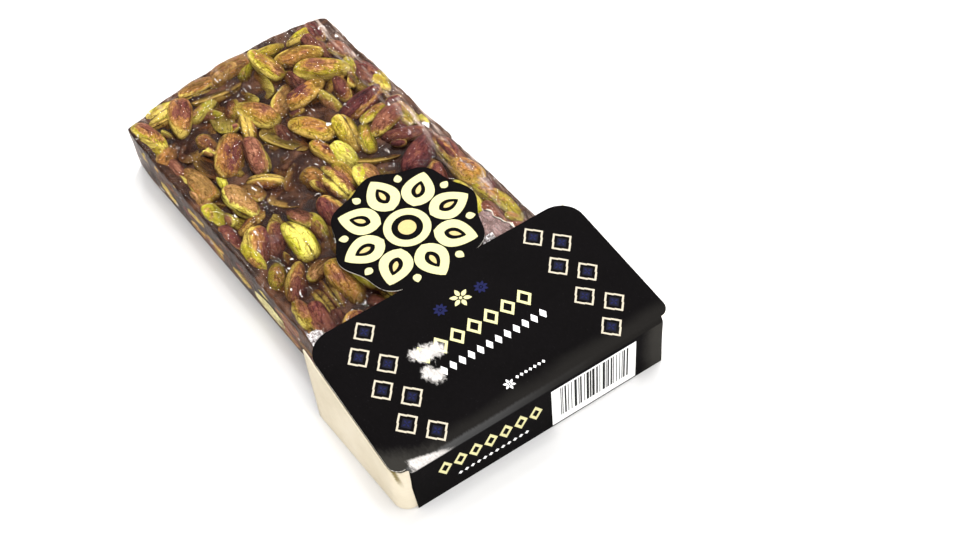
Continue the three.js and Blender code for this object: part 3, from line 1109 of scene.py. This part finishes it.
def folded(pattern, lift=0.0):
    """Pattern points (x, y) as points on the folded card, lifted off its outer face."""
    x, y = np.asarray(pattern, float).T
    turn = np.clip(-y / BEND, 0, math.pi / 2)
    drop = np.maximum(-y - FOLD_LENGTH, 0)
    run = np.maximum(y, 0)
    outer = BEND + lift
    place_y = INK_ROOM + BEND + run - outer * np.sin(turn)
    place_z = CARD_TOP - BEND + outer * np.cos(turn) - drop
    return np.stack([x, place_y, place_z - dip(x, run)], 1)


def rosette_edge(radius, scallop, steps):
    angle = np.linspace(0, FULL_TURN, steps, endpoint=False)
    reach = radius + scallop * np.cos(PETALS * angle)
    x = ROSETTE_X + reach * np.sin(angle)
    y = ROSETTE_Y - BEND + reach * np.cos(angle)
    return np.stack([x, y], 1)


def card_outline():
    """The header card's cut edge in the flat pattern, anticlockwise from the end panel's left corner."""
    left, right = -CARD_WIDTH / 2 + SIDE_ROOM, CARD_WIDTH / 2 - SIDE_ROOM
    edge = [(END_LEFT, PATTERN_FRONT), (END_RIGHT, PATTERN_FRONT), (END_RIGHT, 0)]
    corner = right - END_RIGHT
    edge += arc(END_RIGHT, corner, corner, -90, 0)[1:]
    edge += arc(right - BACK_CORNER, PATTERN_BACK - BACK_CORNER, BACK_CORNER, 0, 90, 16)
    tab = rosette_edge(ROSETTE_RADIUS, ROSETTE_SCALLOP, 400)
    tab = tab[tab[:, 1] > PATTERN_BACK]
    around = np.unwrap(np.arctan2(tab[:, 1] - PATTERN_BACK, tab[:, 0] - ROSETTE_X))
    edge += [tuple(point) for point in tab[np.argsort(around)]]
    edge += arc(left + BACK_CORNER, PATTERN_BACK - BACK_CORNER, BACK_CORNER, 90, 180, 16)
    corner = END_LEFT - left - END_SLANT
    edge += arc(left + corner, corner, corner, 180, 270)[:-1]
    edge.append((left + corner, 0))
    return edge


def inside(points, outline):
    """Which points lie within a closed outline."""
    x, y = points.T
    outline = np.asarray(outline)
    within = np.zeros(len(points), bool)
    for (x1, y1), (x2, y2) in zip(outline, np.roll(outline, -1, 0)):
        crosses = (y1 > y) != (y2 > y)
        with np.errstate(divide="ignore", invalid="ignore"):
            within ^= crosses & (x < (x2 - x1) * (y - y1) / (y2 - y1) + x1)
    return within


def filled(outline, step, rows=()):
    """Triangles that fill an outline, with inner points on a grid and on the named rows."""
    outline = np.asarray(outline, float)
    low, high = outline.min(0), outline.max(0)
    across = np.arange(low[0] + step / 2, high[0], step)
    along = np.concatenate([np.arange(low[1] + step / 2, high[1], step), rows])
    grid = np.stack(np.meshgrid(across, along), -1).reshape(-1, 2)
    grid = grid[inside(grid, outline)]
    count = len(outline)
    verts = [Vector(p) for p in np.concatenate([outline, grid])]
    edges = [(i, (i + 1) % count) for i in range(count)]
    points, _, faces, *_ = delaunay_2d_cdt(verts, edges, [list(range(count))], 1, 1e-4)
    return np.array([tuple(p) for p in points]), faces


def header_card(finish, cut_edge):
    pattern, faces = filled(card_outline(), CARD_STEP, rows=-np.linspace(0, FOLD_LENGTH, 9))
    piece = sheet_piece("header_card", folded(pattern), faces, CARD_PLACE, finish)
    piece.data.materials.append(cut_edge)
    rim = {"use_rim": True, "material_offset_rim": 1}
    piece = worked(piece, "SOLIDIFY", thickness=BOARD * MM, offset=-1, use_even_offset=True, **rim)
    return worked(piece, "BEVEL", width=CUT_BEVEL * MM, segments=2, limit_method="ANGLE", angle_limit=1.0)


# ---- Print: thin inks on the card, laid out in its flat pattern ----

INK = 0.03


class Ink:
    """Printed shapes of one colour, joined into one thin piece."""

    def __init__(self, name, finish):
        self.name = name
        self.finish = finish
        self.level = 1
        self.points, self.faces = [], []

    def add(self, rings, faces):
        """Outlines, each with its lift off the card, and the faces between them."""
        start = len(self.points)
        self.points += [point for outline, lift in rings for point in folded(outline, lift)]
        self.faces += [tuple(start + i for i in face) for face in faces]

    def shape(self, outline):
        """A filled simple outline in the flat pattern."""
        count = len(outline)
        faces = [range(count), range(count, 2 * count), *grid_faces(2, count, closed_columns=True)]
        self.add([(outline, INK * self.level), (outline, -INK)], faces)

    def band(self, outer, inner):
        """The ring between two outlines with as many points each."""
        lift = INK * self.level
        rings = [(outer, lift), (inner, lift), (inner, -INK), (outer, -INK)]
        self.add(rings, grid_faces(4, len(outer), closed_rows=True, closed_columns=True))

    def piece(self):
        made = sheet_piece(self.name, self.points, self.faces, CARD_PLACE, self.finish, smooth=False)
        return faced_outwards(made)


def turned_shape(points, x, y, angle=0.0, size=1.0):
    cos, sin = math.cos(angle), math.sin(angle)
    return np.asarray(points, float) * size @ np.array([[cos, sin], [-sin, cos]]) + [x, y]


def repeated_round(points, x, y, count, offset=0.0):
    """A shape's copies round a middle. An offset of 0.5 sets them in the gaps of others."""
    return [turned_shape(points, x, y, FULL_TURN * (step + offset) / count) for step in range(count)]


def repeated_along(left, right, count):
    """The spacing of things set evenly in a row, and where each is."""
    pitch = (right - left) / count
    return pitch, [left + pitch * (step + 0.5) for step in range(count)]


def lozenge(wide, tall):
    return [(0, -tall / 2), (wide / 2, 0), (0, tall / 2), (-wide / 2, 0)]


def leaf(start, end, wide, steps=9):
    """A petal pointing along +y from start to end, at most wide across."""
    t = np.linspace(0, 1, steps)
    y = start + (end - start) * t
    half = wide / 2 * np.sin(math.pi * t**0.8) ** 0.8
    right = list(zip(half, y))
    left = list(zip(-half[1:-1][::-1], y[1:-1][::-1]))
    return right + left


def disc(radius, steps=32):
    return arc(0, 0, radius, 0, 360 - 360 / steps, steps - 1)


TILE_ROWS = 7
TILE_FIRST_Y = 6.1
TILE_PITCH = 6.12
TILE_INNER_X = 27.2
TILE_OUTER_X = 32.5
TILE_SIDE = 5.05
TILE_STRETCH = 1.13
TILE_LINE = 0.5
TILE_JOG = 0.16
TILE_FIELD = (3.5, 3.9)
TILE_FLORET = 1.2


def stepped_square(half):
    """A square tile edge whose sides each step out once on their way round."""
    quarter = [(half, -half + TILE_JOG), (half, 0.15 * half), (half - TILE_JOG, 0.15 * half)]
    return np.concatenate(repeated_round(quarter, 0, 0, 4))


def tile_places():
    """Middles of the tiles in the two zigzag columns, in the flat pattern."""
    for side in (-1, 1):
        for row in range(TILE_ROWS):
            x = TILE_OUTER_X if row % 2 else TILE_INNER_X
            yield side * x, TILE_FIRST_Y + TILE_PITCH * row - BEND


def floret(ink, x, y, reach, petals):
    for petal in repeated_round(leaf(0.22 * reach, reach, 0.42 * reach, 6), x, y, petals):
        ink.shape(petal)
    ink.shape(turned_shape(disc(0.16 * reach, 8), x, y))


def tiles(ivory, blue, sky):
    """Squares standing on a corner, each with a floret in it."""
    halves = (TILE_SIDE / 2, TILE_SIDE / 2 - TILE_LINE)
    edges = [turned_shape(stepped_square(half), 0, 0, math.pi / 4) * (1, TILE_STRETCH) for half in halves]
    for place in tile_places():
        ivory.band(*(edge + place for edge in edges))
        blue.shape(turned_shape(lozenge(*TILE_FIELD), *place))
        floret(sky, *place, TILE_FLORET, 4)


# Leaves of the rosette: where each starts and ends on its spoke, and its width.
PETAL = (7.6, 20.3, 9.6)
PETAL_HOLLOW = (10.6, 17.0, 4.0)
PETAL_SLIT = (12.0, 15.6, 1.5)
LEAFLET = (16.6, 19.5, 2.4)
BOSS_RING = (6.8, 4.5)
BOSS_DOT = 2.6


def rosette(cream, gold):
    """Eight petals with a slit heart each, round a ringed boss."""
    middle = (ROSETTE_X, ROSETTE_Y - BEND)

    def leaves(size, steps=9, offset=0.0):
        return repeated_round(leaf(*size, steps), *middle, PETALS, offset)

    for outer, inner in zip(leaves(PETAL, 17), leaves(PETAL_HOLLOW, 17)):
        cream.band(outer, inner)
    for slit in leaves(PETAL_SLIT):
        gold.shape(slit)
    cream.band(*(turned_shape(disc(radius, 48), *middle) for radius in BOSS_RING))
    for leaflet in leaves(LEAFLET, offset=0.5):
        cream.shape(leaflet)
    gold.shape(turned_shape(disc(BOSS_DOT), *middle))


class Row(NamedTuple):
    """Lozenges set in a row in place of a line of letters."""

    left: float
    right: float
    y: float
    tall: float
    count: int


TITLE = Row(-20.8, 16.4, 27.4 - BEND, 6.3, 7)
SUBTITLE = Row(-17.6, 16.4, 20.2 - BEND, 3.4, 12)
MAKER_LINE = Row(-2.4, 7.2, 7.6 - BEND, 1.1, 7)
END_TITLE = Row(-31.7, 0.9, PATTERN_FRONT + 11.9, 6.6, 7)
END_SUBTITLE = Row(-26.2, -3.6, PATTERN_FRONT + 5.3, 1.5, 12)
FRIEZE_LINE = 1.0
FRIEZE_SHARE = 0.9
BEAD_SHARE = 0.72

# Flowers: ink, x, y, reach, petals.
FLORETS = (("sky", -6.8, 37.1, 2.1, 8), ("sky", 6.2, 37.1, 2.1, 8),
           ("cream", -0.2, 37.3, 3.1, 6), ("white", -4.6, 6.9, 1.7, 6))


def frieze(ink, row):
    """A row of open lozenges."""
    pitch, middles = repeated_along(row.left, row.right, row.count)
    wide = FRIEZE_SHARE * pitch
    edge = lozenge(wide, row.tall)
    for x in middles:
        hole = turned_shape(edge, x, row.y, size=1 - 2 * FRIEZE_LINE / wide)
        ink.band(turned_shape(edge, x, row.y), hole)


def beads(ink, row):
    """A row of small solid lozenges."""
    pitch, middles = repeated_along(row.left, row.right, row.count)
    for x in middles:
        ink.shape(turned_shape(lozenge(BEAD_SHARE * pitch, row.tall), x, row.y))


FIELD_LEFT, FIELD_RIGHT = 3.6, 30.8
FIELD_LOW, FIELD_HIGH = PATTERN_FRONT + 0.6, PATTERN_FRONT + 17.6
QUIET_LEFT, QUIET_RIGHT = 2.8, 2.6
BARS_LOW, BARS_HIGH = FIELD_LOW + 2.9, FIELD_HIGH - 0.8
BAR_WIDTHS = (0.26, 0.26, 0.52, 0.78)
GAP_WIDTHS = (0.26, 0.52, 0.52, 0.78)


def upright(left, low, right, high):
    return [(left, low), (right, low), (right, high), (left, high)]


def bar_code(white, black):
    """A white field with upright bars of made-up widths, which stand for no number."""
    white.shape(upright(FIELD_LEFT, FIELD_LOW, FIELD_RIGHT, FIELD_HIGH))
    draw = Draws(BAR_CODE_SEED)
    x = FIELD_LEFT + QUIET_LEFT
    while x < FIELD_RIGHT - QUIET_RIGHT:
        wide = draw.pick(BAR_WIDTHS)
        black.shape(upright(x, BARS_LOW, x + wide, BARS_HIGH))
        x += wide + draw.pick(GAP_WIDTHS)


def build_print(finishes):
    inks = {name: Ink(f"{name}_print", finish) for name, finish in finishes.items()}
    cream, gold, ivory, blue, sky, white, black = inks.values()
    sky.level = black.level = 2
    tiles(ivory, blue, sky)
    rosette(cream, gold)
    for name, x, y, reach, petals in FLORETS:
        floret(inks[name], x, y - BEND, reach, petals)
    for row in (TITLE, END_TITLE):
        frieze(cream, row)
    for row in (SUBTITLE, MAKER_LINE, END_SUBTITLE):
        beads(white, row)
    bar_code(white, black)
    for ink in inks.values():
        mounted(ink.piece(), "black_card")


# ---- Cream tray ----


def tray_path():
    """The tray's wall seen from above, from the left end of its mouth round to the right end."""
    left, right, front, radius = TRAY_LEFT, TRAY_RIGHT, TRAY_FRONT, TRAY_CORNER
    path = [(left, y) for y in np.linspace(TRAY_MOUTH, front + radius, 24)]
    path += arc(left + radius, front + radius, radius, 180, 270, 12)[1:]
    path += [(x, front) for x in np.linspace(left + radius, right - radius, 30)[1:]]
    path += arc(right - radius, front + radius, radius, 270, 360, 12)[1:]
    path += [(right, y) for y in np.linspace(front + radius, TRAY_MOUTH, 24)[1:]]
    return np.array(path)


def splayed(points):
    """Leans the side walls out and cuts their ends back towards the foot."""
    x, y, z = points.T
    along = np.clip((y - TRAY_FRONT - TRAY_CORNER) / (TRAY_MOUTH - TRAY_FRONT - TRAY_CORNER), 0, None)
    lean = 1 - z / TRAY_TOP
    out = np.where(x < 0, -1.0, RIGHT_FLARE_SHARE)
    bulge = np.sin(np.clip(along, 0, 1) * math.pi) * np.sin(np.clip(z / TRAY_TOP, 0, 1) * math.pi)
    x = x + out * (TRAY_FLARE * along * lean + TRAY_BULGE * bulge * (x < 0))
    return np.stack([x, y - TRAY_SLANT * along * lean, z], 1)


TRAY_BOARD = 0.4
CORNER_MIDDLE = 0.293
NOTCH_WIDTH = 3.4
NOTCH_DEPTH = 0.4
FOOT_ROUND = 0.5
CREASE_DEPTH = 0.55
CREASE_HALF = 0.8
CREASE_REACH = 8.5
CREASE_X = TRAY_LEFT + 1.0
CREASE_SLOPE = 0.14


def crease_places(x, z):
    """How near the dented crease at the front left corner a place on the wall is, from 0 to 1."""
    middle = CREASE_X + CREASE_SLOPE * (TRAY_TOP - z)
    fade = np.clip((z - TRAY_TOP + CREASE_REACH) / CREASE_REACH, 0, 1)
    return np.exp(-(((x - middle) / CREASE_HALF) ** 2)) * np.sin(math.pi * np.clip(fade, 0, 0.75))


def tray_wall(finish):
    path = tray_path()
    corner = np.array([TRAY_LEFT, TRAY_FRONT]) + CORNER_MIDDLE * TRAY_CORNER
    away = np.hypot(*(path - corner).T)
    top = TRAY_TOP - NOTCH_DEPTH * np.clip(1 - away / NOTCH_WIDTH, 0, 1)
    inward = np.stack([-np.gradient(path[:, 1]), np.gradient(path[:, 0])], 1)
    inward /= np.linalg.norm(inward, axis=1)[:, None]
    rows = []
    for share in np.linspace(1, 0, 14):
        z = FOOT_ROUND + (top - FOOT_ROUND) * share
        dent = crease_places(path[:, 0], z) * (path[:, 1] < TRAY_FRONT + TRAY_CORNER)
        rows.append(splayed(np.column_stack([path + inward * CREASE_DEPTH * dent[:, None], z])))
    for turn in np.radians((30, 60, 90)):
        foot = path + inward * FOOT_ROUND * (1 - math.cos(turn))
        z = np.full(len(path), FLOOR_ROOM + FOOT_ROUND * (1 - math.sin(turn)))
        rows.append(splayed(np.column_stack([foot, z])))
    count = len(path)
    floor = range((len(rows) - 1) * count, len(rows) * count)
    faces = [*grid_faces(len(rows), count), floor]
    piece = sheet_piece("cream_tray_card", np.concatenate(rows), faces, CARD_PLACE, finish)
    faced_outwards(piece)
    return worked(piece, "SOLIDIFY", thickness=TRAY_BOARD * MM, offset=-1, use_even_offset=True)


# ---- Finishes of the card and tray ----

SCUFFS = (
    (-19.6, 28.8, 3.0), (-17.2, 27.6, 4.2), (-14.4, 27.2, 3.6), (-19.8, 22.0, 3.2), (-18.4, 19.8, 3.2),
)


def scuff_mask(finish, place):
    """Where the print has been rubbed off the top panel, in two ragged patches."""
    ragged = finish.noise(place, 900, 5, 0.7, 0.8, (1.0, 0.55, 1))
    mask = 0.0
    for x, y, radius in SCUFFS:
        middle = (CARD_PLACE @ Vector((x, y, CARD_TOP))) * MM
        away = finish.node("ShaderNodeVectorMath", {"operation": "DISTANCE"}, {0: place, 1: middle}, "Value")
        near = 1 - away / (radius * MM)
        mask = near if mask == 0.0 else finish.highest(mask, near)
    return (mask * 0.9 + (ragged - 0.5) * 1.3).smooth(0.16, 0.6)


PAINTED_SHEEN = (0.026, 0.024, 0.021)
WORN_PAPER = (0.6, 0.57, 0.54)


def board_finish():
    finish = Finish("black_coated_board")
    place = finish.place()
    cloud = finish.noise(place, 60, 4, 0.6)
    fibre = finish.noise(place, 1500, 3, 0.6, stretch=(1, 0.4, 1))
    stops = [(0.35, (0.0016, 0.0012, 0.0013)), (0.7, (0.0034, 0.0027, 0.003))]
    black = finish.ramp(cloud * 0.6 + fibre * 0.4, stops)
    dust = finish.noise(place, 2600, 2, 0.6).smooth(0.68, 0.78)
    black = finish.blend(dust * 0.08, black, (0.2, 0.19, 0.2))
    across, along, height = finish.card_place()
    # Painted sheen lightens the top panel along the front fold and at its front left corner, and the end
    # panel's right end.
    top = height.smooth(CARD_TOP - 1.2, CARD_TOP - 0.8)
    corner = (across + along * 2.2 + (cloud - 0.5) * 12 + (fibre - 0.5) * 9).smooth(-18.0, -31.0)
    hazy = (along + (cloud - 0.5) * 6).smooth(7.0, 2.0) * 0.35
    end_panel_sheen = (across + (cloud - 0.5) * 6).smooth(32.0, 37.0) * (1 - top)
    painted_sheen = finish.highest(finish.highest(hazy, corner) * top, end_panel_sheen)
    black = finish.blend(painted_sheen, black, PAINTED_SHEEN)
    edge = height.smooth(CARD_TOP - 1.7, CARD_TOP - 1.0)
    fold = (along + (fibre - 0.5) * 1.2).smooth(1.9, 0.9) * edge
    # A painted highlight along the fold, strongest towards the left.
    rubbed = fold * (across + (cloud - 0.5) * 30).smooth(20.0, -30.0)
    black = finish.blend(rubbed * 0.45, black, (0.09, 0.09, 0.09))
    torn = (along + (fibre - 0.5) * 1.0 + (across + 37) * 0.28).smooth(3.3, 2.3) * edge
    torn = torn * (across + (fibre - 0.5) * 4.0).smooth(-39.0, -36.8)
    mask = finish.highest(scuff_mask(finish, place), torn)
    colour = finish.blend(mask, black, finish.ramp(fibre, [(0.3, (0.4, 0.37, 0.35)), (0.6, WORN_PAPER)]))
    relief = (fibre + mask * 0.8, 0.25, 0.00012)
    return finish.surface(colour, 0.66 + cloud * 0.1 + mask * 0.2, relief, IOR=1.1)


def cut_edge_finish():
    """The board's pale core, with the coating's black rubbed into it here and there."""
    finish = Finish("pale_board_core")
    place = finish.place()
    fibre = finish.noise(place, 1100, 4, 0.7)
    stain = finish.noise(place, 160, 3, 0.6)
    colour = finish.ramp(fibre * 0.5 + stain * 0.5, [(0.38, (0.12, 0.11, 0.1)), (0.5, (0.62, 0.59, 0.52))])
    return finish.surface(colour, 0.75 + fibre * 0.1, (fibre, 0.4, 0.0001), IOR=1.2)


def ink_finish(name, colour, worn=False):
    finish = Finish(name)
    place = finish.place()
    speckle = finish.noise(place, 1900, 4, 0.65)
    shade = tuple(0.86 * part for part in colour)
    tint = finish.ramp(speckle, [(0.35, shade), (0.65, colour)])
    if worn:
        mask = scuff_mask(finish, place)
        tint = finish.blend(mask, tint, WORN_PAPER)
    return finish.surface(tint, 0.6 + speckle * 0.1, (speckle, 0.15, 0.00008), IOR=1.2)


def tray_finish():
    finish = Finish("cream_board")
    place = finish.place()
    fibre = finish.noise(place, 1300, 4, 0.65, stretch=(0.5, 0.5, 1.4))
    stain = finish.noise(place, 55, 3, 0.6)
    stops = [(0.3, (0.52, 0.45, 0.32)), (0.6, (0.62, 0.55, 0.42)), (0.8, (0.66, 0.61, 0.5))]
    colour = finish.ramp(stain * 0.75 + fibre * 0.25, stops)
    across, along, height = finish.card_place()
    # The crease at the front left corner is painted dark brown, as shade in the dent.
    off = across - CREASE_X - (TRAY_TOP - height) * CREASE_SLOPE + (fibre - 0.5) * 0.9
    line = finish.maths("ABSOLUTE", off).smooth(0.75, 0.2) * along.smooth(5.0, 4.4)
    line = line * height.smooth(TRAY_TOP - CREASE_REACH, TRAY_TOP - 3.0)
    colour = finish.blend(line * (stain + fibre * 0.4).smooth(0.4, 0.75), colour, (0.16, 0.12, 0.035))
    return finish.surface(colour, 0.62 + fibre * 0.1, (fibre, 0.3, 0.00012), Specular_IOR_Level=0.3)


def build_card_and_tray():
    mounted(header_card(board_finish(), cut_edge_finish()), "black_card", "black_card")
    build_print({
        "cream": ink_finish("cream_ink", (0.66, 0.62, 0.32), worn=True),
        "gold": ink_finish("gold_ink", (0.6, 0.46, 0.2)),
        "ivory": ink_finish("ivory_ink", (0.54, 0.48, 0.37)),
        "blue": ink_finish("navy_ink", (0.0025, 0.003, 0.014)),
        "sky": ink_finish("blue_ink", (0.005, 0.007, 0.055)),
        "white": ink_finish("white_ink", (0.93, 0.92, 0.9), worn=True),
        "black": ink_finish("black_ink", (0.01, 0.01, 0.01)),
    })
    mounted(tray_wall(tray_finish()), "cream_tray", "cream_tray")


# ---- Ground, light and camera ----

GROUND_HALF = 3000
GROUND_DROP = 0.1


def floor_finish():
    finish = Finish("pale_ground")
    soft = finish.noise(finish.place(), 3, 2, 0.5)
    colour = finish.ramp(soft, [(0.3, (0.77, 0.76, 0.75)), (0.7, (0.79, 0.78, 0.77))])
    return finish.shown(finish.principled(Base_Color=colour, Roughness=0.85, Specular_IOR_Level=0.1))


def build_ground():
    half = GROUND_HALF
    corners = [(x, y, -GROUND_DROP) for x, y in upright(-half, -half, half, half)]
    sheet_piece("ground", corners, [(0, 1, 2, 3)], Matrix.Identity(4), floor_finish())


def area_light(name, azimuth, elevation, distance, size, watts, colour=(1, 1, 1)):
    """A square soft light aimed at the pack from a compass direction, 0 being straight in front."""
    turn, rise = math.radians(azimuth), math.radians(elevation)
    away = Vector((math.sin(turn) * math.cos(rise), -math.cos(turn) * math.cos(rise), math.sin(rise)))
    light = bpy.data.lights.new(name, "AREA")
    light.shape = "SQUARE"
    light.size = size
    light.energy = watts
    light.color = colour
    lamp = bpy.data.objects.new(name, light)
    lamp.location = away * distance
    lamp.rotation_euler = away.to_track_quat("Z", "Y").to_euler()
    bpy.context.scene.collection.objects.link(lamp)


WARM = (1, 0.98, 0.95)

# Name: azimuth, elevation, distance, size, watts, colour.
LAMPS = {
    "overhead": (60, 66, 1.2, 0.8, 6.8),
    "left": (-105, 28, 1.1, 0.8, 4.4, WARM),
    "front": (-15, 24, 1.3, 0.8, 12.0),
    "key": (142, 46, 1.1, 0.1, 2.5, WARM),
}
GLINTS = ((168, 58), (138, 62), (160, 42), (118, 50), (182, 46), (150, 70), (130, 40), (100, 64))
GLINT = (1.1, 0.1, 1.5)


def build_light():
    world = bpy.data.worlds.new("studio")
    world.use_nodes = True
    background = world.node_tree.nodes["Background"]
    background.inputs["Color"].default_value = (0.95, 0.97, 1.0, 1)
    background.inputs["Strength"].default_value = 0.46
    bpy.context.scene.world = world
    for name, layout in LAMPS.items():
        area_light(name, *layout)
    for count, place in enumerate(GLINTS):
        area_light(f"glint_{count}", *place, *GLINT)
    bpy.context.scene.view_settings.view_transform = "Standard"


CAMERA_AZIMUTH = math.radians(27.8)
CAMERA_DROP = math.radians(53.79)
CAMERA_ROLL = math.radians(-6.43)
CAMERA_LENS = 55.64
CAMERA_FROM = CARD_WIDTH * Vector((-1.1912, -1.9707, 4.0304))


def build_camera():
    """Looks down over the left of the pack, turned a little about its own line of sight."""
    a, e = CAMERA_AZIMUTH, CAMERA_DROP
    ahead = Vector((math.sin(a) * math.cos(e), math.cos(a) * math.cos(e), -math.sin(e)))
    level = ahead.cross(Vector((0, 0, 1))).normalized()
    raised = level.cross(ahead)
    right = level * math.cos(CAMERA_ROLL) + raised * math.sin(CAMERA_ROLL)
    axes = Matrix((right, right.cross(ahead), -ahead)).transposed().to_4x4()
    camera = bpy.data.cameras.new("camera")
    camera.sensor_width = 36
    camera.lens = CAMERA_LENS
    camera.clip_start = 0.01
    holder = bpy.data.objects.new("camera", camera)
    holder.matrix_world = Matrix.Translation(MM * (CARD_PLACE @ CAMERA_FROM)) @ axes
    bpy.context.scene.collection.objects.link(holder)
    bpy.context.scene.camera = holder


build_bar()
build_card_and_tray()
build_ground()
build_light()
build_camera()
